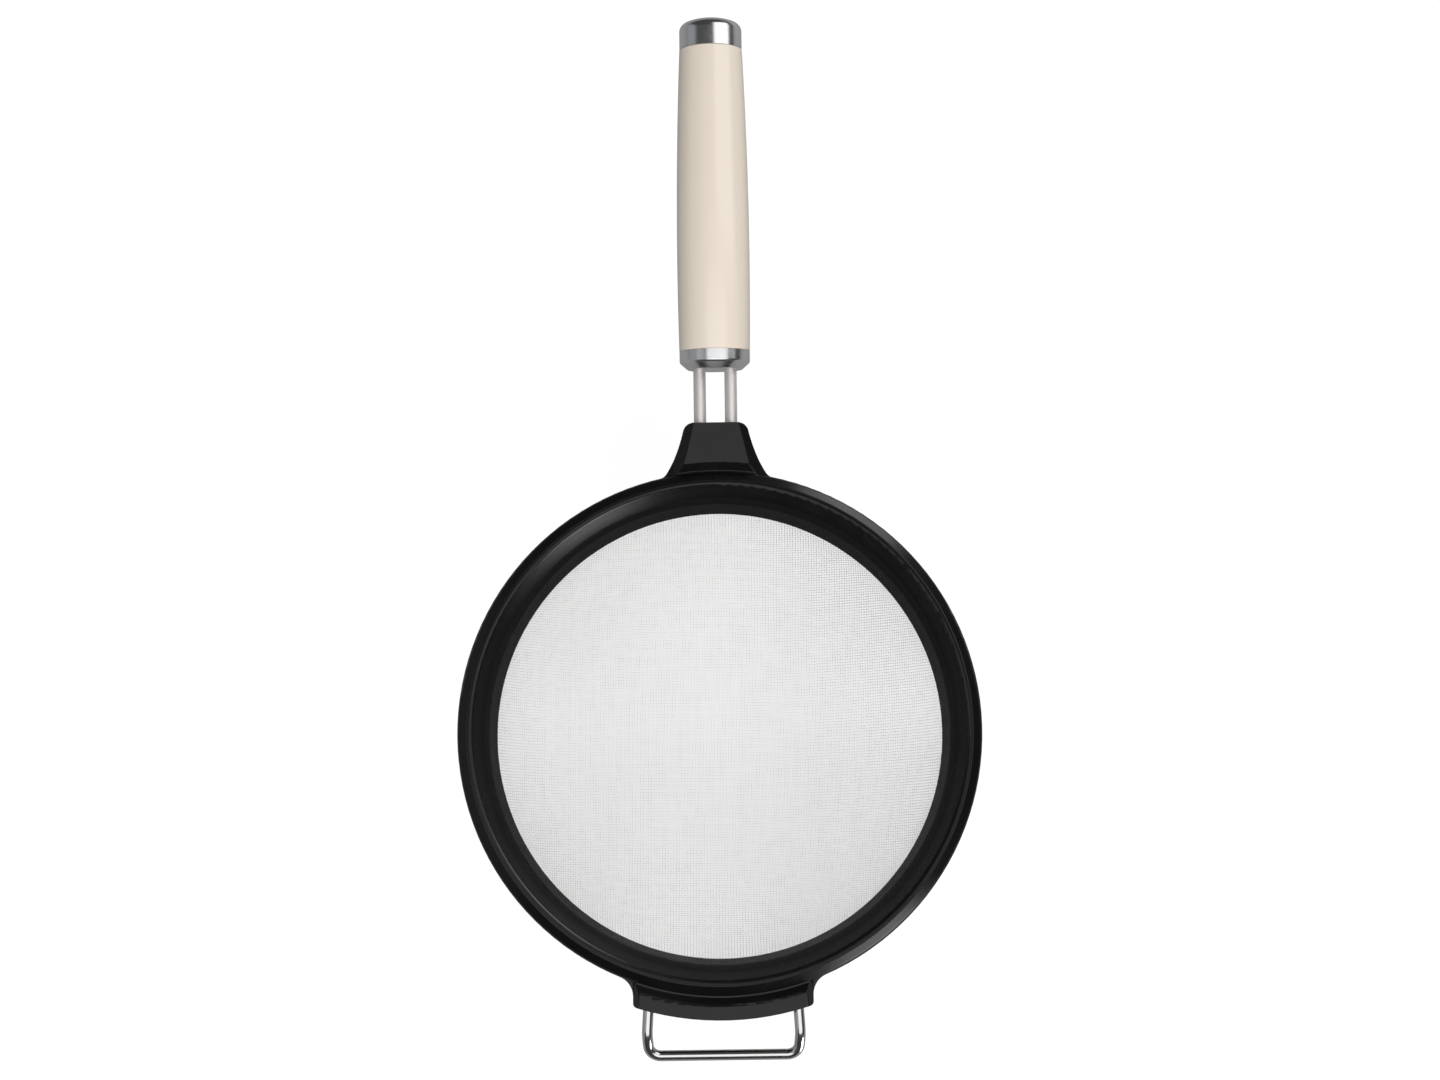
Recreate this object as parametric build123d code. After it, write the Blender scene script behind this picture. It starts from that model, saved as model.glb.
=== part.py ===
from build123d import *

import math
import os

# A round mesh hand strainer in millimetres. The bowl opens up, the handle points to +Y and the
# rest loop to -Y. The origin is on the bowl's axis, level with the rim's flat underside.

# Clearances and cutting overruns
fit_gap = 0.1
overrun = 1.0

# Mesh bowl and the folded strip round its edge
mesh_radius = 86.6
mesh_thickness = 0.56
mesh_collar_inset = 3.2
bowl_shoulder_radius = 36.0
bowl_shoulder_angle = 50.0
mesh_bar_width = 3.4
mesh_grid_inset = 6.4
mesh_grid_count = 12
mesh_wall_count = 40
band_wall = 0.4
band_height = 3.2

# Rim, seen in section from the bowl's axis. Heights are counted from the flat underside.
skirt_wall = 1.82
skirt_depth = 11.2
skirt_tip_round = 0.7
lip_height = 8.0
lip_outset = 2.15
groove_width = 0.5
groove_depth = 1.0
ridge_width = 0.45
ridge_round = 0.6
edge_drop = 2.6
edge_round = 2.4
foot_round = 0.8
hoop_cover = 0.25
rim_cover = 1.26

# Funnel ring, the inner moulding that leads into the mesh
funnel_top_drop = 0.25
funnel_top_flat = 0.9
funnel_top_round = 1.6
funnel_foot_height = 1.0
funnel_foot_round = 9.0
funnel_wall = 1.5
funnel_collar_wall = 1.12
funnel_mouth_inset = 2.6
funnel_tip_round = 0.7

# Frame wire: a hoop inside the rim whose two ends run out as rods
wire_diameter = 4.6
hoop_height = 2.7
rod_half_spacing = 5.78
rod_bend_radius = 7.0
rod_run = 1.44
rod_rise_radius = 20.0
handle_rise = 9.5

# Both blocks on the rim
arm_valley_run = 0.4
arm_valley_drop = 2.7
arm_valley_round = 0.5
arm_pad_run = 3.2

# Neck block at the back of the rim
neck_length = 17.6
neck_root = 2.0
neck_side_wall = 3.5
neck_spread = 7.8
neck_side_radius = 55.0
neck_corner_round = 3.2
neck_flare_round = 4.0
neck_pad_drop = 0.7
neck_fold_round = 0.8
neck_under_run = 6.0
neck_shoulder_drop = 3.3
neck_pad_half_width = 8.3
neck_pad_spread = 3.7
neck_side_slope = 50.0
neck_edge_round = 0.8

# Loop tab at the front of the rim
tab_length = 8.2
tab_half_width = 32.2
tab_corner_round = 1.6
tab_flare_round = 7.5
tab_pad_drop = 1.0
tab_fold_round = 2.5
tab_edge_drop = 0.8
tab_shoulder_drop = 3.4
tab_side_slope = 34.0
tab_edge_round = 0.6

# Front rest loop
loop_diameter = 3.8
loop_side_wall = 3.7
loop_bow = 0.7
loop_height = 3.0
loop_toe = 8.0
loop_toe_gap = 2.2
loop_toe_round = 3.0
loop_bend_run = 4.7
loop_bend_round = 9.0
loop_run = 12.25
loop_drop = 4.2
loop_corner_round = 4.4

# Handle, turned about its own axis
rod_show = 20.32
rod_hole_gap = 0.15
ferrule_nose_rim = 1.9
ferrule_taper = 2.6
ferrule_band = 4.3
ferrule_seat = 0.9
ferrule_wall = 1.2
ferrule_face_wall = 2.0
ferrule_round = 1.4
spigot_wall = 2.45
grip_length = 112.4
grip_lip = 0.05
grip_swell = 0.86
grip_belly_share = 0.36
grip_edge_round = 0.5
core_wall = 1.17
core_plug_gap = 16.4
core_end_wall = 20.6
core_flute_radius = 2.6
core_flute_depth = 1.5
cross_pin_diameter = 3.2
cross_pin_inset = 4.0

# End cap and the plug that carries it
cap_lip = 0.05
cap_skirt = 6.5
cap_rise = 5.1
cap_crown_radius = 26.0
cap_wall = 1.0
cap_round = 3.4
cap_spigot_wall = 1.17
plug_head = 2.1
plug_length = 12.0
plug_rib_count = 3
plug_rib_width = 1.2
plug_rib_depth = 0.5
plug_rib_pitch = 3.0


def funnel_back(radius):
    """Height of the funnel wall's back face at a radius."""
    front = funnel_foot_height + (radius - funnel_foot_radius) * math.tan(funnel_slope)
    return front - funnel_wall / math.cos(funnel_slope)


# Radii of the rim, from the mesh outwards
skirt_inner = mesh_radius + mesh_thickness / 2 + fit_gap
skirt_radius = skirt_inner + skirt_wall
band_inner = mesh_radius - mesh_thickness / 2 - band_wall
band_outer = mesh_radius + mesh_thickness / 2 + band_wall
band_pocket = band_outer + fit_gap
lip_corner_radius = skirt_radius + lip_outset
lip_outer_radius = lip_corner_radius + groove_width
ridge_radius = lip_outer_radius + ridge_width

# Funnel ring, from the mesh inwards
funnel_skirt_radius = band_inner - fit_gap
funnel_foot_radius = funnel_skirt_radius - funnel_collar_wall
funnel_top_height = lip_height - funnel_top_drop
funnel_slope = math.atan2(funnel_top_height - funnel_foot_height, lip_corner_radius - funnel_foot_radius)
funnel_mouth_radius = funnel_foot_radius - funnel_mouth_inset
funnel_bottom = fit_gap - skirt_depth
mesh_collar_bottom = mesh_collar_inset - skirt_depth

# The hoop lies under the funnel's seat, and the rim's edge and the rods follow it
hoop_lift = hoop_height + fit_gap - funnel_back(funnel_foot_radius)
hoop_reach = hoop_lift * math.cos(funnel_slope) + wire_diameter / 2 + hoop_cover
hoop_radius = funnel_foot_radius + hoop_reach / math.sin(funnel_slope)
rim_radius = hoop_radius + wire_diameter / 2 + rim_cover
rod_bend_x = rod_half_spacing + rod_bend_radius
rod_bend_y = math.sqrt((hoop_radius + rod_bend_radius) ** 2 - rod_bend_x**2)
rod_rise_start = rod_bend_y + rod_run
rod_rise_corner = rod_rise_radius * math.tan(math.radians(handle_rise) / 2)

# Blocks on the rim and the wire loop
valley_radius = rim_radius + arm_valley_run
valley_height = lip_height - arm_valley_drop
pad_radius = rim_radius + arm_pad_run
neck_end = rim_radius + neck_length
tab_radius = rim_radius + tab_length
loop_half_spacing = tab_half_width - loop_side_wall - loop_diameter / 2

# Handle, whose places along it are counted from the start of the rise
rod_outer = rod_half_spacing + wire_diameter / 2
ferrule_reach = neck_end + rod_show - rod_rise_start - rod_rise_corner
ferrule_face = ferrule_reach / math.cos(math.radians(handle_rise))
ferrule_length = ferrule_taper + ferrule_band
spigot_length = ferrule_band - ferrule_seat
cap_spigot_length = cap_skirt - plug_head - 2 * fit_gap
core_length = grip_length + spigot_length + cap_spigot_length - plug_length - core_plug_gap
grip_bore_radius = rod_outer + core_wall + fit_gap
spigot_radius = grip_bore_radius + spigot_wall
ferrule_radius = spigot_radius + fit_gap + ferrule_wall
ferrule_nose_radius = rod_outer + rod_hole_gap + ferrule_nose_rim
cap_spigot_radius = grip_bore_radius + cap_spigot_wall
cap_radius = cap_spigot_radius + fit_gap + cap_wall
grip_front_radius = ferrule_radius + grip_lip
grip_back_radius = cap_radius + cap_lip
grip_start = ferrule_face + ferrule_length
grip_end = grip_start + grip_length
rod_end = grip_start - spigot_length + core_length - core_end_wall


def outline(corners):
    """A closed face from (point, corner radius) pairs, in the XY plane."""
    points = [point for point, _ in corners]
    radii = [radius for _, radius in corners]
    return make_face(FilletPolyline(*points, radius=radii, close=True))


def turned(corners):
    """A solid turned about Z from ((radius, height), corner radius) pairs."""
    return revolve(Plane.XZ * outline(corners), axis=Axis.Z)


def tube(path, diameter):
    """A round wire along a smooth path."""
    start = Plane(origin=path @ 0, z_dir=path % 0)
    return sweep(start * Circle(diameter / 2), path=path)


def handle_place(along):
    """The place on the handle's axis at a distance along it, with local Z along the handle."""
    rise = math.radians(handle_rise)
    direction = (0, math.cos(rise), math.sin(rise))
    start = Vector(0, rod_rise_start + rod_rise_corner, hoop_height)
    return Plane(origin=start + Vector(*direction) * along, x_dir=(1, 0, 0), z_dir=direction)


def funnel_ring():
    return turned([
        ((lip_corner_radius, funnel_top_height), 0),
        ((lip_corner_radius - funnel_top_flat, funnel_top_height), funnel_top_round),
        ((funnel_foot_radius, funnel_foot_height), funnel_foot_round),
        ((funnel_mouth_radius, funnel_bottom), funnel_tip_round),
        ((funnel_skirt_radius, funnel_bottom), funnel_tip_round),
        ((funnel_skirt_radius, fit_gap), 0),
        ((band_pocket, fit_gap), 0),
        ((band_pocket, funnel_back(band_pocket)), 0),
        ((lip_corner_radius, funnel_back(lip_corner_radius)), 0),
    ])


def rim_ring():
    """The rim frame's ring, whose back closes the pocket for the mesh edge."""
    seat = -band_height - fit_gap
    return turned([
        ((lip_corner_radius + fit_gap, lip_height - groove_depth), 0),
        ((lip_outer_radius, lip_height - groove_depth), 0),
        ((lip_outer_radius, lip_height), groove_width / 4),
        ((ridge_radius, lip_height), ridge_round),
        ((rim_radius, lip_height - edge_drop), edge_round),
        ((rim_radius, 0), foot_round),
        ((skirt_radius, 0), 0),
        ((skirt_radius, -skirt_depth), skirt_tip_round),
        ((skirt_inner, -skirt_depth), skirt_tip_round),
        ((skirt_inner, seat), 0),
        ((band_pocket + fit_gap, seat), 0),
        ((band_pocket + fit_gap, funnel_back(band_pocket) - fit_gap), 0),
        ((lip_corner_radius + fit_gap, funnel_back(lip_corner_radius) - fit_gap), 0),
    ])


def flared(block, centre, touch, flare):
    """A block's plan with small concave flares where its sides leave the rim's edge."""
    wedge = make_face(Polyline((0, 0), centre, touch, close=True)) - Pos(*centre) * Circle(flare)
    return (block + wedge + mirror(wedge, about=Plane.YZ)) - Circle(skirt_radius)


def crests(body, shoulder, end):
    """Edges where a block's flanks meet its pad, up to just short of its end."""
    picked = []
    for edge in body.edges():
        first, last = edge @ 0, edge @ 1
        low = min(first.Z, last.Z)
        far = max(abs(first.Y), abs(last.Y))
        lengthwise = abs(first.X - last.X) < abs(first.Y - last.Y)
        plain = edge.geom_type in (GeomType.LINE, GeomType.CIRCLE)
        if lengthwise and not plain and low > shoulder + fit_gap and far < end - fit_gap:
            picked.append(edge)
    return picked


def arm(base, block, long_block, section, shoulder, slope, height):
    """A block on the rim: its flared base, its sloped flanks above, all cut to a section."""
    flanks = extrude(Pos(0, 0, shoulder) * long_block, amount=height - shoulder, taper=slope)
    body = extrude(base, amount=shoulder) + (flanks & extrude(block, amount=height))
    return body & turned(section)


def neck_flare(side):
    """Centre of the flare beside the neck, and the point where it meets the neck's side."""
    far = Vector(side.arc_center.X, side.arc_center.Y)
    reach = rim_radius + neck_flare_round
    inner = neck_side_radius - neck_flare_round
    along = (reach**2 - inner**2 + far.length**2) / (2 * far.length)
    across = math.sqrt(reach**2 - along**2)
    towards = far.normalized()
    centre = towards * along + Vector(-towards.Y, towards.X) * across
    touch = far + (centre - far) * (neck_side_radius / inner)
    return (centre.X, centre.Y), (touch.X, touch.Y)


def neck_flank_plan(height, shoulder):
    """Where the neck's sloped flanks start, level with its shoulder, run on past both ends."""
    climb = math.tan(math.radians(handle_rise))
    slope = math.tan(math.radians(neck_side_slope))
    near = Vector(neck_pad_half_width + neck_pad_spread + (height - shoulder) * slope, pad_radius)
    rise = height - shoulder + (neck_end - pad_radius) * climb
    far = Vector(neck_pad_half_width + rise * slope, neck_end)
    low, high = near - (far - near), far + (far - near)
    corners = [(low.X, low.Y), (high.X, high.Y), (-high.X, high.Y), (-low.X, low.Y)]
    return make_face(Polyline(*corners, close=True))


def neck_block():
    """The block that carries the rods out of the rim."""
    climb = math.tan(math.radians(handle_rise))
    reach = neck_end + overrun
    height = lip_height - neck_pad_drop
    top = height + (reach - pad_radius) * climb
    under_start = rim_radius + neck_under_run
    half_width = rod_outer + neck_side_wall
    root = (half_width + neck_spread, rim_radius - neck_root)
    side = RadiusArc(root, (half_width, neck_end), neck_side_radius)
    foot = Line((root[0], skirt_inner), root)
    half = [foot, side]
    far_half = [mirror(edge, about=Plane.YZ) for edge in half]
    ends = [Line(half[0] @ 0, far_half[0] @ 0), Line(half[-1] @ 1, far_half[-1] @ 1)]
    block = make_face(Curve() + half + far_half + ends)
    block = fillet(block.vertices().sort_by(Axis.Y)[-2:], neck_corner_round)
    section = [
        ((ridge_radius, 0), 0),
        ((under_start, 0), 0),
        ((reach, (reach - under_start) * climb), 0),
        ((reach, top), 0),
        ((pad_radius, height), neck_fold_round),
        ((valley_radius, valley_height), arm_valley_round),
        ((ridge_radius, valley_height), 0),
    ]
    base = flared(block, *neck_flare(side), neck_flare_round)
    shoulder = height - neck_shoulder_drop
    body = arm(base, block, neck_flank_plan(height, shoulder), section, shoulder, neck_side_slope, top)
    return fillet(crests(body, shoulder, neck_end), neck_edge_round)


def tab_plan(radius):
    """The tab's plan out to a radius about the bowl's axis."""
    strip = Pos(0, -radius) * Rectangle(2 * tab_half_width, 2 * radius)
    return (strip & Circle(radius)) - Circle(skirt_radius)


def loop_tab():
    """The block at the front that holds the wire loop."""
    reach = tab_radius + overrun
    height = lip_height - tab_pad_drop
    long_block = tab_plan(tab_radius + height)
    block = tab_plan(tab_radius)
    block = fillet(block.vertices().sort_by_distance((0, 0, 0))[-2:], tab_corner_round)
    section = [
        ((ridge_radius, 0), 0),
        ((reach, 0), 0),
        ((reach, height - tab_edge_drop), 0),
        ((pad_radius, height), tab_fold_round),
        ((valley_radius, valley_height), arm_valley_round),
        ((ridge_radius, valley_height), 0),
    ]
    across = tab_half_width + tab_flare_round
    along = -math.sqrt((rim_radius + tab_flare_round) ** 2 - across**2)
    base = flared(block, (across, along), (tab_half_width, along), tab_flare_round)
    shoulder = height - tab_shoulder_drop
    body = arm(base, block, long_block, section, shoulder, tab_side_slope, height)
    return fillet(crests(body, shoulder, tab_radius), tab_edge_round)


def frame_wire_path():
    """Hoop, outward bends, upward bends and straight rods, from one rod's end to the other's."""
    lean = math.degrees(math.atan2(rod_bend_x, rod_bend_y))
    level = Pos(0, 0, hoop_height)
    hoop = level * CenterArc((0, 0), hoop_radius, 90 + lean, 360 - 2 * lean)
    bend = level * CenterArc((rod_bend_x, rod_bend_y), rod_bend_radius, 270 - lean, lean - 90)
    rise = math.radians(handle_rise)
    start = (rod_half_spacing, rod_rise_start, hoop_height)
    run = Line(bend @ 1, start)
    half = rise / 2
    middle = (
        rod_half_spacing,
        rod_rise_start + rod_rise_radius * math.sin(half),
        hoop_height + rod_rise_radius * (1 - math.cos(half)),
    )
    lifted = handle_place(rod_rise_corner).origin + Vector(rod_half_spacing, 0, 0)
    rise_arc = ThreePointArc(start, middle, lifted)
    rod = Line(lifted, handle_place(rod_end).origin + Vector(rod_half_spacing, 0, 0))
    half_path = [bend, run, rise_arc, rod]
    far_half = [mirror(edge, about=Plane.YZ) for edge in half_path]
    return Wire([hoop.edge()] + [edge.edge() for edge in half_path + far_half])


def frame_wire():
    return tube(frame_wire_path(), wire_diameter)


def front_loop():
    """Toes, legs, downward bend and bar of the rest loop."""
    toe_end = loop_half_spacing - loop_toe
    toe_radius = hoop_radius + (wire_diameter + loop_diameter) / 2 + loop_toe_gap
    toe_start = math.sqrt(toe_radius**2 - toe_end**2)
    half = [
        (toe_end, -toe_start, loop_height),
        (loop_half_spacing, -toe_start, loop_height),
        (loop_half_spacing + loop_bow, -tab_radius - loop_bend_run, loop_height),
        (loop_half_spacing, -tab_radius - loop_run, loop_height - loop_drop),
    ]
    points = half + [(-x, y, z) for x, y, z in reversed(half)]
    radii = [loop_toe_round, loop_bend_round, loop_corner_round]
    path = FilletPolyline(*points, radius=radii + radii[::-1])
    return tube(path, loop_diameter)


def mesh_grid():
    """A plain grid of square openings for the weave below the shoulder, cut straight down."""
    reach = mesh_radius - mesh_grid_inset
    pitch = 2 * reach / mesh_grid_count
    opening = Rectangle(pitch - mesh_bar_width, pitch - mesh_bar_width)
    places = GridLocations(pitch, pitch, mesh_grid_count, mesh_grid_count)
    inside = [place * opening for place in places if place.position.length < reach - mesh_bar_width]
    return extrude((Sketch() + inside) & Circle(reach), amount=-mesh_radius)


def mesh_wall_row():
    """One row of openings round the bowl's steep wall, between the skirt and the grid."""
    inset = mesh_radius - bowl_shoulder_radius
    turn = math.asin((mesh_radius - mesh_grid_inset - inset) / bowl_shoulder_radius)
    low = mesh_collar_bottom - bowl_shoulder_radius * math.cos(turn) + mesh_bar_width
    high = -skirt_depth - mesh_bar_width
    width = 2 * math.pi * mesh_radius / mesh_wall_count - mesh_bar_width
    depth = 2 * mesh_grid_inset
    bar = Pos(mesh_radius, 0, (low + high) / 2) * Box(depth, width, high - low)
    step = 360 / mesh_wall_count
    return [Rot(0, 0, step * (place + 1 / 2)) * bar for place in range(mesh_wall_count)]


def mesh_bowl():
    """The pressed bowl as a thin shell, collar, shoulder and shallow base, with its openings."""
    angle = math.radians(bowl_shoulder_angle)
    inset = mesh_radius - bowl_shoulder_radius
    base_radius = bowl_shoulder_radius + inset / math.sin(angle)
    base_centre = mesh_collar_bottom + (base_radius - bowl_shoulder_radius) * math.cos(angle)
    half = mesh_thickness / 2

    def on_shoulder(turn, offset):
        reach = bowl_shoulder_radius + offset
        return inset + reach * math.sin(turn), mesh_collar_bottom - reach * math.cos(turn)

    def skin(offset):
        middle = (math.pi / 2 + angle) / 2
        reach = base_radius + offset
        collar = Line((mesh_radius + offset, -band_wall), (mesh_radius + offset, mesh_collar_bottom))
        shoulder = ThreePointArc(collar @ 1, on_shoulder(middle, offset), on_shoulder(angle, offset))
        low = (reach * math.sin(angle / 2), base_centre - reach * math.cos(angle / 2))
        base = ThreePointArc(shoulder @ 1, low, (0, base_centre - reach))
        return [collar, shoulder, base]

    inner, outer = skin(-half), skin(half)
    rim = Line(inner[0] @ 0, outer[0] @ 0)
    axis = Line(inner[-1] @ 1, outer[-1] @ 1)
    shell = revolve(Plane.XZ * make_face(Curve() + inner + outer + [rim, axis]), axis=Axis.Z)
    return shell - mesh_grid() - mesh_wall_row()


def mesh_edge_band():
    """Folded strip over the cut edge of the mesh."""
    body = turned([
        ((band_inner, -band_height), 0),
        ((band_outer, -band_height), 0),
        ((band_outer, 0), band_wall),
        ((band_inner, 0), band_wall),
    ])
    slot = turned([
        ((mesh_radius - mesh_thickness / 2, -band_height - overrun), 0),
        ((mesh_radius + mesh_thickness / 2, -band_height - overrun), 0),
        ((mesh_radius + mesh_thickness / 2, -band_wall), 0),
        ((mesh_radius - mesh_thickness / 2, -band_wall), 0),
    ])
    return body - slot


def rim_frame(wire, loop):
    """The outer moulding, formed round the frame wire and the toes of the loop."""
    return rim_ring() + neck_block() + loop_tab() - wire - loop


def rod_holes(start, end, gap):
    """A pair of rod bores along the handle between two places."""
    radius = wire_diameter / 2 + gap
    place = handle_place(start)
    bore = Cylinder(radius, end - start, align=(Align.CENTER, Align.CENTER, Align.MIN))
    return [place * Pos(side * rod_half_spacing, 0, 0) * bore for side in (-1, 1)]


def ferrule():
    """Chrome ring with a tapered nose, closed in front but for the two rods."""
    cup_radius = ferrule_radius - ferrule_wall
    body = handle_place(ferrule_face) * turned([
        ((0, 0), 0),
        ((ferrule_nose_radius, 0), ferrule_round / 2),
        ((ferrule_radius, ferrule_taper), ferrule_round),
        ((ferrule_radius, ferrule_length), 0),
        ((cup_radius, ferrule_length), 0),
        ((cup_radius, ferrule_length - spigot_length - fit_gap), 0),
        ((grip_bore_radius, ferrule_length - spigot_length - fit_gap), 0),
        ((grip_bore_radius, ferrule_face_wall + ferrule_wall), 0),
        ((ferrule_nose_radius - ferrule_wall, ferrule_face_wall), 0),
        ((0, ferrule_face_wall), 0),
    ])
    for hole in rod_holes(ferrule_face - overrun, ferrule_face + ferrule_length, rod_hole_gap):
        body -= hole
    return body


def handle_shell():
    """The grip: barrel outside, straight bore inside and a spigot at each end."""
    chord = grip_front_radius + (grip_back_radius - grip_front_radius) * grip_belly_share
    belly = (chord + grip_swell, grip_length * grip_belly_share)
    barrel = ThreePointArc((grip_front_radius, 0), belly, (grip_back_radius, grip_length))
    rest = Polyline(
        barrel @ 1,
        (cap_spigot_radius, grip_length),
        (cap_spigot_radius, grip_length + cap_spigot_length),
        (grip_bore_radius, grip_length + cap_spigot_length),
        (grip_bore_radius, -spigot_length),
        (spigot_radius, -spigot_length),
        (spigot_radius, 0),
        barrel @ 0,
    )
    body = revolve(Plane.XZ * make_face(Curve() + [barrel, rest]), axis=Axis.Z)
    ends = [(grip_front_radius, 0), (grip_back_radius, grip_length)]
    near = fit_gap / 2
    rims = [
        edge
        for edge in body.edges().filter_by(GeomType.CIRCLE)
        for radius, place in ends
        if math.hypot(edge.radius - radius, edge.center().Z - place) < near
    ]
    return handle_place(grip_start) * fillet(rims, grip_edge_round)


def handle_core():
    """The fluted core that fills the grip's bore and holds both rods and their cross pin."""
    start = grip_start - spigot_length
    radius = grip_bore_radius - fit_gap
    align = (Align.CENTER, Align.CENTER, Align.MIN)
    body = Cylinder(radius, core_length, align=align)
    for side in (-1, 1):
        offset = side * (radius + core_flute_radius - core_flute_depth)
        body -= Pos(0, offset, 0) * Cylinder(core_flute_radius, core_length, align=align)
    body = handle_place(start) * body - cross_pin_bar()
    for hole in rod_holes(start - overrun, rod_end, 0):
        body -= hole
    return body


def cross_pin_bar():
    """The cross pin before its ends are coped: it reaches both rods' centre lines."""
    place = handle_place(rod_end - cross_pin_inset)
    return place * Rot(0, 90, 0) * Cylinder(cross_pin_diameter / 2, 2 * rod_half_spacing)


def rod_cross_pin():
    """Short pin welded between the rods near their ends, coped to fit them."""
    pin = cross_pin_bar()
    for rod in rod_holes(grip_start, rod_end + overrun, 0):
        pin -= rod
    return pin


def cap_plug():
    """Ribbed plug in the end of the grip, with a head that carries the cap."""
    start = grip_end + cap_spigot_length
    radius = grip_bore_radius - fit_gap
    align = (Align.CENTER, Align.CENTER, Align.MIN)
    body = Pos(0, 0, -plug_length) * Cylinder(radius, plug_length + fit_gap, align=align)
    body += Pos(0, 0, fit_gap) * Cylinder(cap_spigot_radius, plug_head, align=align)
    for rib in range(plug_rib_count):
        low = -plug_length + plug_rib_pitch * (rib + 1) - plug_rib_width
        ring = Cylinder(radius, plug_rib_width, align=align)
        ring -= Cylinder(radius - plug_rib_depth, plug_rib_width, align=align)
        body -= Pos(0, 0, low) * ring
    return handle_place(start) * body


def end_cap():
    """Domed chrome cap over the end of the grip."""
    top = cap_skirt + cap_rise
    inner = cap_radius - cap_wall
    sag = cap_crown_radius - math.sqrt(cap_crown_radius**2 - cap_radius**2)
    crown = ThreePointArc((0, top), (cap_radius / 2, top - sag / 4), (cap_radius, top - sag))
    body = Polyline(crown @ 1, (cap_radius, 0), (inner, 0), (inner, cap_skirt), (0, cap_skirt), (0, top))
    face = make_face(Curve() + [crown, body])
    shape = revolve(Plane.XZ * face, axis=Axis.Z)
    rims = [
        edge
        for edge in shape.edges().filter_by(GeomType.CIRCLE)
        if abs(edge.radius - cap_radius) < fit_gap and edge.center().Z > cap_skirt
    ]
    return handle_place(grip_end) * fillet(rims, cap_round)


def build():
    wire = frame_wire()
    loop = front_loop()
    return {
        "rim_frame": rim_frame(wire, loop),
        "funnel_ring": funnel_ring(),
        "mesh_bowl": mesh_bowl(),
        "mesh_edge_band": mesh_edge_band(),
        "frame_wire": wire,
        "front_loop": loop,
        "ferrule": ferrule(),
        "handle_shell": handle_shell(),
        "handle_core": handle_core(),
        "rod_cross_pin": rod_cross_pin(),
        "cap_plug": cap_plug(),
        "end_cap": end_cap(),
    }


os.makedirs("parts", exist_ok=True)
for name, solid in build().items():
    export_step(solid, f"parts/{name}.step")
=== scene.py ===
import math

import bpy
import numpy as np
from mathutils import Matrix, Vector

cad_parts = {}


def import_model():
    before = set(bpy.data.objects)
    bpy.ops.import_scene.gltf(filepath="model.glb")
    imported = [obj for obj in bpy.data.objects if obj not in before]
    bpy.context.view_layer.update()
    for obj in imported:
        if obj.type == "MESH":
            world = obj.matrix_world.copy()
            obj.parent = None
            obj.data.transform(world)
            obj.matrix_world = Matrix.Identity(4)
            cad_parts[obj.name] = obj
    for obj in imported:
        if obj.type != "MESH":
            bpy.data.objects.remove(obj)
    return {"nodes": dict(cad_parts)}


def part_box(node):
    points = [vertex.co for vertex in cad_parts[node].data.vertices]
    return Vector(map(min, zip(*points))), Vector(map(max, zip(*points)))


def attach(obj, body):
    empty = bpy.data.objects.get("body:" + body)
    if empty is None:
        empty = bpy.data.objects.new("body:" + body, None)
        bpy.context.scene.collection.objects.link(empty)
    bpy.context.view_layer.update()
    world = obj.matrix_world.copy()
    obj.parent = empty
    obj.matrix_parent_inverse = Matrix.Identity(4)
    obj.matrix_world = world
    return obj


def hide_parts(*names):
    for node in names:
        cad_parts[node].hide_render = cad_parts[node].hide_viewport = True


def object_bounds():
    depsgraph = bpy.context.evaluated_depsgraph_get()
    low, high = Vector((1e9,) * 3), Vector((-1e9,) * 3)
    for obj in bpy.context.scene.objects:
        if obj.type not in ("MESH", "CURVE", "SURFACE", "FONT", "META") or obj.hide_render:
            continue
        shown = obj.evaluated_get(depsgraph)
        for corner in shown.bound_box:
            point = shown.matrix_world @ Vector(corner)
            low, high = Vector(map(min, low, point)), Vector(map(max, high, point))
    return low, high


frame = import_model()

cad_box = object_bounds()
nodes = frame["nodes"]
scene = bpy.context.scene
MM = 0.001

# Photograph: its width and the lens's focal length in its pixels, and the view that gives its
# outlines, set from the middle of the rim's lip
IMAGE_WIDTH = 1440
SENSOR_WIDTH = 36.0
FOCAL_LENGTH_PX = 2200.0
VIEW_LEAN = math.radians(10.0)
VIEW_ROLL = math.radians(0.785)
LIP_HEIGHT = 8.0 * MM
LIP_DISTANCE = 796.2 * MM
LIP_DROP = 68.04 * MM
LIP_SHIFT = 0.1 * MM

# Woven bowl, as pressed: a shallow base, a tight shoulder and an upright collar
WIRE_DIAMETER = 0.28 * MM
WIRE_PITCH = 1.1 * MM
WIRE_SIDES = 6
WEAVE_SWING = 0.5 * WIRE_DIAMETER
COLLAR_BOTTOM = -8.0 * MM
COLLAR_CUT = -3.4 * MM
SHOULDER_RADIUS = 36.0 * MM
SHOULDER_ANGLE = math.radians(50.0)
PIECES_PER_SET = 3

# Laying the cloth: rounds of Newton's method for a crossing, the fewest crossings that a wire has
# on each side of its middle, and the free share at each side of its strip in the texture map
NEWTON_ROUNDS = 8
SHORTEST_REACH = 2
STRIP_MARGIN = 0.1

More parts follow.
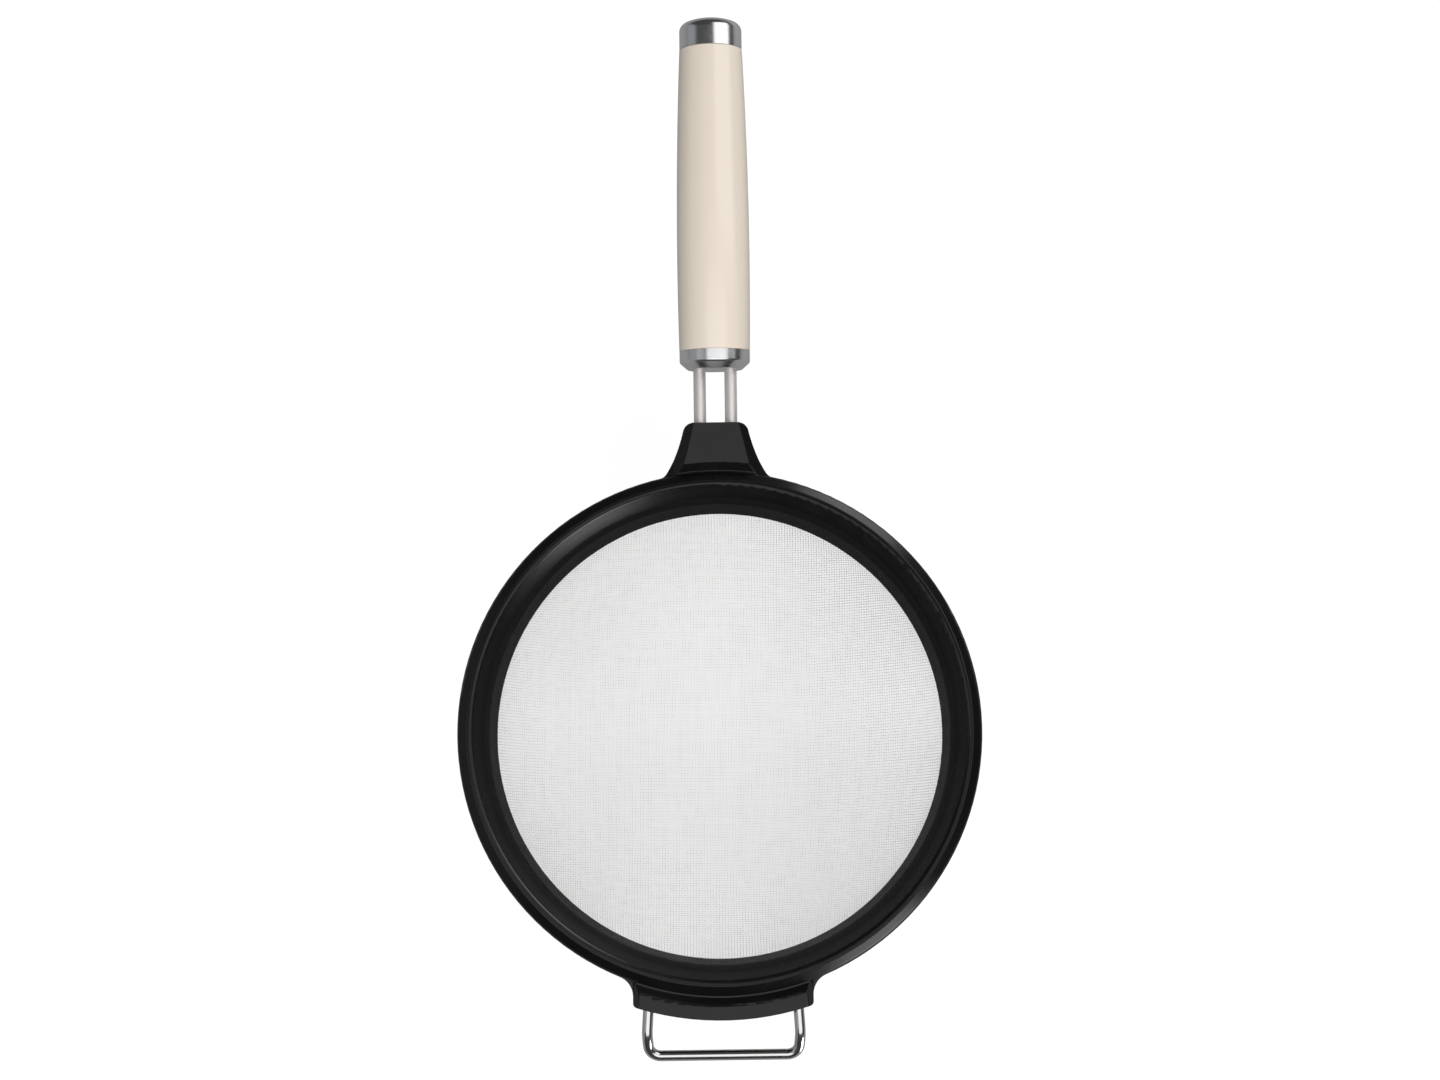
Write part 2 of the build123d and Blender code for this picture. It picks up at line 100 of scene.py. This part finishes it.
# Base colours, a darker and a lighter one where a piece's tone changes over its surface
WIRE_DARK = (0.82, 0.82, 0.81)
WIRE_BRIGHT = (1.0, 1.0, 0.99)
BLACK_DARK = (0.0025, 0.0025, 0.003)
BLACK_BRIGHT = (0.0045, 0.0045, 0.005)
GRIP_DARK = (0.79, 0.70, 0.595)
GRIP_BRIGHT = (0.815, 0.725, 0.62)
CORE_DARK = (0.48, 0.47, 0.44)
CORE_BRIGHT = (0.54, 0.53, 0.50)
CHROME = (0.86, 0.87, 0.88)
ROD = (0.88, 0.84, 0.825)
LOOP = (0.72, 0.72, 0.71)
BAND = (0.60, 0.60, 0.60)
METAL_DARK_SHARE = 0.94

# Black plastic: how much it shines, and the duller foot of the funnel
BLACK_SPECULAR = 0.35
FOOT_SPECULAR = 0.03
FOOT_RADIUS = 84.5 * MM
FOOT_WIDTH = 3.5 * MM

# Noise: the part of its values that is used, and how it is stretched. A small number draws it out.
NOISE_LOW = 0.3
NOISE_HIGH = 0.7
EVEN = (1.0, 1.0, 1.0)
ALONG_HANDLE = (1.0, 0.04, 1.0)
ACROSS_HANDLE = (0.04, 1.0, 1.0)

# Floor: how far it reaches, and its own light as the camera and as bright pieces see it
FLOOR_REACH = 30.0
FLOOR_ALBEDO = 0.16
FLOOR_ROUGHNESS = 0.9
FLOOR_SEEN = 0.90
FLOOR_MIRRORED = 0.16

# Surroundings: a grey wall at the left that fades into a dim room, as shares of the way across
WALL_EDGE = 0.07
WALL_COLOUR = (0.28, 0.29, 0.30)
ROOM_EDGE = 0.13
ROOM_COLOUR = (0.05, 0.05, 0.05)

# Bowl surface
bowl_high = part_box("mesh_bowl")[1]
MESH_RADIUS = bowl_high.x - WIRE_DIAMETER
SHOULDER_INSET = MESH_RADIUS - SHOULDER_RADIUS
BASE_RADIUS = SHOULDER_RADIUS + SHOULDER_INSET / math.sin(SHOULDER_ANGLE)
BASE_CENTRE = COLLAR_BOTTOM + (BASE_RADIUS - SHOULDER_RADIUS) * math.cos(SHOULDER_ANGLE)
BASE_ARC = BASE_RADIUS * SHOULDER_ANGLE
SHOULDER_ARC = BASE_ARC + SHOULDER_RADIUS * (math.pi / 2 - SHOULDER_ANGLE)
CUT_ARC = SHOULDER_ARC + COLLAR_CUT - COLLAR_BOTTOM


def profile(arc):
    """Radius, height and slope of the bowl at distances along its profile from the pole."""
    base = arc / BASE_RADIUS
    shoulder = SHOULDER_ANGLE + (arc - BASE_ARC) / SHOULDER_RADIUS
    on_base = arc <= BASE_ARC
    on_collar = arc > SHOULDER_ARC
    slope = np.where(on_base, base, np.where(on_collar, math.pi / 2, shoulder))
    base_radius = BASE_RADIUS * np.sin(slope)
    shoulder_radius = SHOULDER_INSET + SHOULDER_RADIUS * np.sin(slope)
    radius = np.where(on_base, base_radius, shoulder_radius)
    base_height = BASE_CENTRE - BASE_RADIUS * np.cos(slope)
    shoulder_height = COLLAR_BOTTOM - SHOULDER_RADIUS * np.cos(slope)
    low = np.where(on_base, base_height, shoulder_height)
    height = np.where(on_collar, COLLAR_BOTTOM + arc - SHOULDER_ARC, low)
    return radius, height, slope


def bowl_point(arc, turn):
    """Points of the bowl and their outward normals."""
    radius, height, slope = profile(arc)
    around = np.stack([np.cos(turn), np.sin(turn)], -1)
    point = np.concatenate([radius[:, None] * around, height[:, None]], 1)
    normal = np.concatenate([np.sin(slope)[:, None] * around, -np.cos(slope)[:, None]], 1)
    return point, normal


def net_step(a, b, c, arc, turn):
    """Next crossings of the cloth: one pitch from a and from b, across from c."""
    guess = a + b - c
    turn = np.where(np.isfinite(guess[:, 0]), np.arctan2(guess[:, 1], guess[:, 0]), turn)
    for _ in range(NEWTON_ROUNDS):
        radius, height, slope = profile(arc)
        cos, sin = np.cos(turn), np.sin(turn)
        point = np.stack([radius * cos, radius * sin, height], 1)
        along = np.stack([np.cos(slope) * cos, np.cos(slope) * sin, np.sin(slope)], 1)
        across = np.stack([-radius * sin, radius * cos, np.zeros_like(radius)], 1)
        to_a, to_b = point - a, point - b
        miss_a = (to_a**2).sum(1) - WIRE_PITCH**2
        miss_b = (to_b**2).sum(1) - WIRE_PITCH**2
        a_along, a_across = 2 * (to_a * along).sum(1), 2 * (to_a * across).sum(1)
        b_along, b_across = 2 * (to_b * along).sum(1), 2 * (to_b * across).sum(1)
        det = a_along * b_across - a_across * b_along
        arc = arc - (miss_a * b_across - miss_b * a_across) / det
        turn = turn - (miss_b * a_along - miss_a * b_along) / det
    return arc, turn


def cloth_net():
    """One quarter of the cloth's crossings as (arc, turn) grids, in which every cell keeps its sides."""
    count = int(CUT_ARC / WIRE_PITCH) + 1
    arcs = np.full((count, count), np.nan)
    turns = np.full((count, count), np.nan)
    steps = np.arange(count) * WIRE_PITCH
    arcs[:, 0], arcs[0, :] = steps, steps
    turns[:, 0], turns[0, :] = 0.0, math.pi / 2
    for diagonal in range(2, 2 * count - 1):
        i = np.arange(max(1, diagonal - count + 1), min(count, diagonal))
        j = diagonal - i
        known = np.isfinite(arcs[i - 1, j]) & np.isfinite(arcs[i, j - 1])
        i, j = i[known], j[known]
        if not len(i):
            break
        a = bowl_point(arcs[i - 1, j], turns[i - 1, j])[0]
        b = bowl_point(arcs[i, j - 1], turns[i, j - 1])[0]
        c = bowl_point(arcs[i - 1, j - 1], turns[i - 1, j - 1])[0]
        start = arcs[i - 1, j] + arcs[i, j - 1] - arcs[i - 1, j - 1]
        arc, turn = net_step(a, b, c, start, (turns[i - 1, j] + turns[i, j - 1]) / 2)
        inside = (arc > 0) & (arc < CUT_ARC)
        arcs[i[inside], j[inside]] = arc[inside]
        turns[i[inside], j[inside]] = turn[inside]
    return arcs, turns


def wire_lines(arcs, turns, side):
    """Centre lines of one set of wires, with the over and under of the weave."""
    count = len(arcs)
    lines = []
    for row in range(1 - count, count):
        quarter = arcs[:, abs(row)], turns[:, abs(row)]
        valid = np.flatnonzero(np.isfinite(quarter[0]))
        reach = valid[-1] if len(valid) else 0
        if reach < SHORTEST_REACH:
            continue
        step = np.arange(-reach, reach + 1)
        arc, turn = quarter[0][abs(step)], quarter[1][abs(step)]
        point, normal = bowl_point(arc, turn)
        flip = np.ones((len(step), 3))
        flip[step < 0, 0] = -1.0
        if row < 0:
            flip[:, 1] = -1.0
        over = side * np.where((step + row) % 2 == 0, 1.0, -1.0)
        point, normal = point * flip, normal * flip
        line = point + normal * (over * WEAVE_SWING)[:, None]
        if side < 0:
            line, normal = line[:, [1, 0, 2]], normal[:, [1, 0, 2]]
        lines.append((line, normal))
    return lines


def tube_points(line, normal):
    """Points of a round wire, one ring of them at each point of its centre line."""
    corner = 2 * math.pi * np.arange(WIRE_SIDES) / WIRE_SIDES
    ahead = np.gradient(line, axis=0)
    ahead /= np.linalg.norm(ahead, axis=1)[:, None]
    beside = np.cross(ahead, normal)
    beside /= np.linalg.norm(beside, axis=1)[:, None]
    above = np.cross(beside, ahead)
    upward = np.cos(corner)[None, :, None] * above[:, None]
    sideways = np.sin(corner)[None, :, None] * beside[:, None]
    return (line[:, None] + (upward + sideways) * (WIRE_DIAMETER / 2)).reshape(-1, 3)


def tube_faces(length, first):
    """Four-sided faces of a wire with that many rings, whose points start at first."""
    ring = first + np.arange(length - 1)[:, None] * WIRE_SIDES
    side = np.arange(WIRE_SIDES)[None]
    at = ring + side
    turned = ring + (side + 1) % WIRE_SIDES
    return np.stack([at, turned, turned + WIRE_SIDES, at + WIRE_SIDES], -1).reshape(-1, 4)


def tube_places(length, number, count):
    """Places of a wire's faces in the texture map, where each of the wires has its own strip."""
    inner = 1 - 2 * STRIP_MARGIN
    u = (number + STRIP_MARGIN + inner * np.arange(WIRE_SIDES + 1) / WIRE_SIDES) / count
    v = np.arange(length) / (length - 1)
    left, right = u[None, :-1], u[None, 1:]
    near, far = v[:-1, None], v[1:, None]
    corners = ((left, near), (right, near), (right, far), (left, far))
    pairs = [np.stack(np.broadcast_arrays(across, along), -1) for across, along in corners]
    return np.stack(pairs, 2).reshape(-1, 2)


def wire_mesh(name, lines, material):
    """One mesh of round wires along centre lines."""
    verts, faces, places = [], [], []
    first = 0
    for number, (line, normal) in enumerate(lines):
        length = len(line)
        verts.append(tube_points(line, normal))
        faces.append(tube_faces(length, first))
        places.append(tube_places(length, number, len(lines)))
        first += length * WIRE_SIDES
    points = np.concatenate(verts)
    corners = np.concatenate(faces)
    mesh = bpy.data.meshes.new(name)
    mesh.vertices.add(len(points))
    mesh.vertices.foreach_set("co", points.ravel())
    mesh.loops.add(corners.size)
    mesh.loops.foreach_set("vertex_index", corners.ravel())
    mesh.polygons.add(len(corners))
    mesh.polygons.foreach_set("loop_start", np.arange(0, corners.size, corners.shape[1]))
    mesh.polygons.foreach_set("use_smooth", np.ones(len(corners), bool))
    layer = mesh.uv_layers.new(name="OFBake")
    layer.data.foreach_set("uv", np.concatenate(places).ravel())
    mesh.update()
    mesh.validate()
    piece = bpy.data.objects.new(name, mesh)
    scene.collection.objects.link(piece)
    piece.data.materials.append(material)
    return piece


# Shader nodes
def new_material(name):
    """A material with its node tree and its shader."""
    material = bpy.data.materials.new(name)
    material.use_nodes = True
    tree = material.node_tree
    return material, tree, tree.nodes["Principled BSDF"]


def noise(tree, scale, detail=3.0, stretch=EVEN):
    """Noise in the part's own space, in features per metre."""
    place = tree.nodes.new("ShaderNodeTexCoord")
    mapping = tree.nodes.new("ShaderNodeMapping")
    mapping.inputs["Scale"].default_value = stretch
    texture = tree.nodes.new("ShaderNodeTexNoise")
    texture.inputs["Scale"].default_value = scale
    texture.inputs["Detail"].default_value = detail
    tree.links.new(place.outputs["Object"], mapping.inputs["Vector"])
    tree.links.new(mapping.outputs["Vector"], texture.inputs["Vector"])
    return texture.outputs["Fac"]


def map_range(tree, value, source, result):
    """Maps one range of a value to another, each given as its low and its high end."""
    node = tree.nodes.new("ShaderNodeMapRange")
    node.inputs["From Min"].default_value = source[0]
    node.inputs["From Max"].default_value = source[1]
    node.inputs["To Min"].default_value = result[0]
    node.inputs["To Max"].default_value = result[1]
    tree.links.new(value, node.inputs["Value"])
    return node.outputs["Result"]


def spread(tree, value, low, high):
    """Maps the middle of a noise to a range."""
    return map_range(tree, value, (NOISE_LOW, NOISE_HIGH), (low, high))


def two_tone(tree, value, first, second):
    """Blends two colours by a value from 0 to 1."""
    node = tree.nodes.new("ShaderNodeMix")
    node.data_type = "RGBA"
    node.inputs["A"].default_value = (*first, 1.0)
    node.inputs["B"].default_value = (*second, 1.0)
    tree.links.new(value, node.inputs["Factor"])
    return node.outputs["Result"]


def paint(tree, shader, colour, roughness):
    """Links a shader's colour and its roughness."""
    tree.links.new(colour, shader.inputs["Base Color"])
    tree.links.new(roughness, shader.inputs["Roughness"])


def bump(tree, shader, value, height, strength):
    """Roughens a shader's surface by a noise of that height."""
    node = tree.nodes.new("ShaderNodeBump")
    node.inputs["Strength"].default_value = strength
    node.inputs["Distance"].default_value = height
    tree.links.new(value, node.inputs["Height"])
    tree.links.new(node.outputs["Normal"], shader.inputs["Normal"])


def vector_math(tree, operation):
    """A node for vectors, with the operation that it does."""
    node = tree.nodes.new("ShaderNodeVectorMath")
    node.operation = operation
    return node


def scalar_math(tree, operation, *values):
    """Result of an operation on numbers and on other nodes' outputs."""
    node = tree.nodes.new("ShaderNodeMath")
    node.operation = operation
    for socket, value in zip(node.inputs, values):
        if isinstance(value, bpy.types.NodeSocket):
            tree.links.new(value, socket)
        else:
            socket.default_value = value
    return node.outputs[0]


# Materials
def black_plastic(name):
    """Satin black moulding with a fine grain."""
    material, tree, shader = new_material(name)
    broad = noise(tree, scale=60.0)
    grain = noise(tree, scale=2600.0, detail=2.0)
    tone = two_tone(tree, broad, BLACK_DARK, BLACK_BRIGHT)
    paint(tree, shader, tone, spread(tree, broad, low=0.22, high=0.29))
    shader.inputs["Specular IOR Level"].default_value = BLACK_SPECULAR
    bump(tree, shader, grain, height=0.006 * MM, strength=0.4)
    return material


def funnel_plastic():
    """The rim's black plastic, duller towards the funnel's foot."""
    material = black_plastic("funnel_plastic")
    tree = material.node_tree
    place = tree.nodes.new("ShaderNodeTexCoord")
    level = vector_math(tree, "MULTIPLY")
    level.inputs[1].default_value = (1.0, 1.0, 0.0)
    radius = vector_math(tree, "LENGTH")
    foot = (FOOT_RADIUS, FOOT_RADIUS + FOOT_WIDTH)
    sheen = map_range(tree, radius.outputs["Value"], foot, (FOOT_SPECULAR, BLACK_SPECULAR))
    tree.links.new(place.outputs["Object"], level.inputs[0])
    tree.links.new(level.outputs["Vector"], radius.inputs[0])
    tree.links.new(sheen, tree.nodes["Principled BSDF"].inputs["Specular IOR Level"])
    return material


def grip_plastic():
    """Glossy cream moulding."""
    material, tree, shader = new_material("grip_plastic")
    broad = noise(tree, scale=35.0)
    fine = noise(tree, scale=900.0, detail=2.0)
    tone = two_tone(tree, broad, GRIP_DARK, GRIP_BRIGHT)
    paint(tree, shader, tone, spread(tree, fine, low=0.16, high=0.22))
    shader.inputs["Coat Weight"].default_value = 0.3
    shader.inputs["Coat Roughness"].default_value = 0.06
    bump(tree, shader, fine, height=0.004 * MM, strength=0.3)
    return material


def core_plastic():
    """Plain natural moulding of the hidden pieces."""
    material, tree, shader = new_material("core_plastic")
    broad = noise(tree, scale=90.0)
    tone = two_tone(tree, broad, CORE_DARK, CORE_BRIGHT)
    paint(tree, shader, tone, spread(tree, broad, low=0.45, high=0.6))
    return material


def woven_steel(name, stretch):
    """Bright fine wire, whose tone changes in long streaks from wire to wire."""
    material, tree, shader = new_material(name)
    streaks = noise(tree, scale=420.0, detail=2.0, stretch=stretch)
    tone = two_tone(tree, spread(tree, streaks, low=0.0, high=1.0), WIRE_DARK, WIRE_BRIGHT)
    paint(tree, shader, tone, spread(tree, noise(tree, scale=700.0), low=0.34, high=0.44))
    shader.inputs["Metallic"].default_value = 0.45
    bump(tree, shader, noise(tree, scale=5000.0, detail=2.0), height=0.002 * MM, strength=0.3)
    return material


def metal(name, colour, rough, scratches, depth, stretch=EVEN, metallic=1.0):
    """Metal with fine lines: their number in a metre, their depth and the way they are drawn out."""
    material, tree, shader = new_material(name)
    lines = noise(tree, scale=scratches, detail=4.0, stretch=stretch)
    cloudy = noise(tree, scale=150.0)
    darker = tuple(METAL_DARK_SHARE * part for part in colour)
    tone = two_tone(tree, cloudy, darker, colour)
    paint(tree, shader, tone, spread(tree, lines, *rough))
    shader.inputs["Metallic"].default_value = metallic
    bump(tree, shader, lines, height=depth, strength=0.4)
    return material


def make_looks():
    """Every finish of the part, by a short name."""
    return {
        "black": black_plastic("black_plastic"),
        "funnel": funnel_plastic(),
        "grip": grip_plastic(),
        "chrome": metal("bright_chrome", CHROME, (0.19, 0.25), scratches=1200.0, depth=0.001 * MM),
        "rod": metal(
            "rod_steel", ROD, (0.42, 0.52), scratches=3000.0, depth=0.004 * MM,
            stretch=ALONG_HANDLE, metallic=0.75,
        ),
        "loop": metal("loop_steel", LOOP, (0.12, 0.20), scratches=2000.0, depth=0.002 * MM),
        "band": metal("band_steel", BAND, (0.30, 0.40), scratches=800.0, depth=0.004 * MM),
        "warp": woven_steel("mesh_warp_steel", ALONG_HANDLE),
        "weft": woven_steel("mesh_weft_steel", ACROSS_HANDLE),
        "core": core_plastic(),
    }


def dress(looks):
    """Gives each CAD node its finish."""
    finish = {
        "rim_frame": "black",
        "funnel_ring": "funnel",
        "mesh_bowl": "warp",
        "mesh_edge_band": "band",
        "frame_wire": "rod",
        "front_loop": "loop",
        "ferrule": "chrome",
        "handle_shell": "grip",
        "handle_core": "core",
        "rod_cross_pin": "rod",
        "cap_plug": "core",
        "end_cap": "chrome",
    }
    for node, look in finish.items():
        for slot in nodes[node].material_slots:
            slot.material = looks[look]


def weave(looks):
    """Puts the woven wires in the bowl's place, each set of them in a few pieces."""
    arcs, turns = cloth_net()
    for label, side in (("warp", 1.0), ("weft", -1.0)):
        lines = wire_lines(arcs, turns, side)
        share = math.ceil(len(lines) / PIECES_PER_SET)
        for number in range(PIECES_PER_SET):
            some = lines[number * share:(number + 1) * share]
            piece = wire_mesh(f"mesh_{label}_wires_{number + 1}", some, looks[label])
            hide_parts("mesh_bowl")
            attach(piece, "root")


# Stage, lights and camera
def floor_material():
    """A floor that is white to the eye, pale in reflections, and keeps the object's shadow."""
    material, tree, shader = new_material("floor_white")
    shader.inputs["Base Color"].default_value = (FLOOR_ALBEDO, FLOOR_ALBEDO, FLOOR_ALBEDO, 1.0)
    shader.inputs["Roughness"].default_value = FLOOR_ROUGHNESS
    shader.inputs["Specular IOR Level"].default_value = 0.0
    path = tree.nodes.new("ShaderNodeLightPath")
    camera_ray, glossy_ray = path.outputs["Is Camera Ray"], path.outputs["Is Glossy Ray"]
    seen = scalar_math(tree, "MAXIMUM", camera_ray, path.outputs["Is Transmission Ray"])
    direct = scalar_math(tree, "MULTIPLY", seen, FLOOR_SEEN)
    glow = scalar_math(tree, "MULTIPLY_ADD", glossy_ray, FLOOR_MIRRORED, direct)
    shader.inputs["Emission Color"].default_value = (1.0, 1.0, 1.0, 1.0)
    tree.links.new(glow, shader.inputs["Emission Strength"])
    return material


def floor():
    """A wide floor under the lowest point of the part."""
    low = cad_box[0][2]
    signs = ((-1, -1), (1, -1), (1, 1), (-1, 1))
    corners = [(x * FLOOR_REACH, y * FLOOR_REACH, low) for x, y in signs]
    mesh = bpy.data.meshes.new("floor")
    mesh.from_pydata(corners, [], [(0, 1, 2, 3)])
    ground = bpy.data.objects.new("floor", mesh)
    scene.collection.objects.link(ground)
    mesh.materials.append(floor_material())


def world():
    """Dim studio surroundings with a grey wall on the left."""
    sky = bpy.data.worlds.new("studio")
    scene.world = sky
    sky.use_nodes = True
    tree = sky.node_tree
    background = tree.nodes["Background"]
    place = tree.nodes.new("ShaderNodeTexCoord")
    parts = tree.nodes.new("ShaderNodeSeparateXYZ")
    ramp = tree.nodes.new("ShaderNodeValToRGB")
    stops = ((WALL_EDGE, WALL_COLOUR), (ROOM_EDGE, ROOM_COLOUR))
    for element, (position, colour) in zip(ramp.color_ramp.elements, stops):
        element.position = position
        element.color = (*colour, 1.0)
    tree.links.new(place.outputs["Generated"], parts.inputs["Vector"])
    across = scalar_math(tree, "MULTIPLY_ADD", parts.outputs["X"], 0.5, 0.5)
    tree.links.new(across, ramp.inputs["Fac"])
    tree.links.new(ramp.outputs["Color"], background.inputs["Color"])
    background.inputs["Strength"].default_value = 1.0


def softbox(name, place, target, size, radiance, mirrored=True):
    """A lit rectangle turned to a target, its width kept level; mirrored if bright surfaces show it."""
    width, height = size
    light = bpy.data.lights.new(name, "AREA")
    light.shape = "RECTANGLE"
    light.size, light.size_y = width, height
    light.energy = radiance * width * height * math.pi
    lamp = bpy.data.objects.new(name, light)
    scene.collection.objects.link(lamp)
    lamp.location = place
    lamp.rotation_euler = (Vector(place) - Vector(target)).to_track_quat("Z", "Y").to_euler()
    lamp.visible_camera = False
    lamp.visible_glossy = mirrored
    return lamp


def aim(lamp, state, pieces):
    """Lights only some pieces (state INCLUDE) or all but them (EXCLUDE), as flags round it would."""
    aimed = bpy.data.collections.new(f"{lamp.name}_flags")
    for piece in pieces:
        aimed.objects.link(piece)
    for member in aimed.collection_objects:
        member.light_linking.link_state = state
    lamp.light_linking.receiver_collection = aimed


def lamps():
    """Five lamps that bright pieces mirror, three that fill the shadows and two for the funnel."""
    centre = (0.0, 0.0, 0.0)
    softbox(
        "overhead", place=(0.21, -0.30, 1.0), target=(0.21, -0.30, 0.0),
        size=(1.44, 0.84), radiance=1.22,
    )
    softbox(
        "right_above", place=(0.74, 0.76, 0.89), target=(0.0, 0.76, 0.05),
        size=(1.12, 1.21), radiance=1.3,
    )
    right_back = softbox(
        "right_back", place=(0.31, 0.54, 0.03), target=(0.0, 0.0, 0.03),
        size=(0.25, 0.19), radiance=3.5,
    )
    right_front = softbox(
        "right_front", place=(0.60, -0.75, 0.09), target=(0.0, 0.0, 0.09),
        size=(0.42, 0.32), radiance=6.5,
    )
    softbox(
        "left_wall", place=(-0.75, -0.10, 0.75), target=(0.0, -0.10, 0.0),
        size=(0.60, 0.46), radiance=0.36,
    )
    softbox(
        "front_left", place=(-0.35, -0.95, 0.90), target=centre,
        size=(1.0, 0.8), radiance=4.2, mirrored=False,
    )
    softbox(
        "back_left", place=(-0.80, 1.05, 0.75), target=centre,
        size=(0.9, 0.8), radiance=0.9, mirrored=False,
    )
    softbox(
        "handle_above", place=(0.34, 0.40, 0.82), target=(0.0, 0.20, 0.0),
        size=(0.5, 0.5), radiance=1.7, mirrored=False,
    )
    funnel_back = softbox(
        "funnel_back", place=(0.58, 0.62, 0.28), target=centre,
        size=(0.46, 0.36), radiance=4.0,
    )
    funnel_front = softbox(
        "funnel_front", place=(0.50, -0.80, 0.14), target=centre,
        size=(0.46, 0.30), radiance=5.0,
    )
    for low_lamp in (right_back, right_front):
        aim(low_lamp, "EXCLUDE", (nodes["end_cap"], nodes["ferrule"]))
    for glint_lamp in (funnel_back, funnel_front):
        aim(glint_lamp, "INCLUDE", (nodes["funnel_ring"],))


def camera():
    """The photograph's view: nearly straight down on the rim, leaning a little towards the loop."""
    forward = Vector((0.0, math.sin(VIEW_LEAN), -math.cos(VIEW_LEAN)))
    level_up = Vector((0.0, math.cos(VIEW_LEAN), math.sin(VIEW_LEAN)))
    level_right = Vector((1.0, 0.0, 0.0))
    up = level_up * math.cos(VIEW_ROLL) + level_right * math.sin(VIEW_ROLL)
    right = level_right * math.cos(VIEW_ROLL) - level_up * math.sin(VIEW_ROLL)
    lens = bpy.data.cameras.new("camera")
    lens.sensor_width = SENSOR_WIDTH
    lens.lens = SENSOR_WIDTH * FOCAL_LENGTH_PX / IMAGE_WIDTH
    eye = bpy.data.objects.new("camera", lens)
    scene.collection.objects.link(eye)
    lip = Vector((0.0, 0.0, LIP_HEIGHT))
    place = lip - forward * LIP_DISTANCE + up * LIP_DROP + right * LIP_SHIFT
    turn = Matrix((right, up, -forward)).transposed()
    eye.matrix_world = Matrix.Translation(place) @ turn.to_4x4()
    scene.camera = eye


finishes = make_looks()
dress(finishes)
weave(finishes)
floor()
world()
lamps()
camera()
scene.view_settings.view_transform = "Standard"
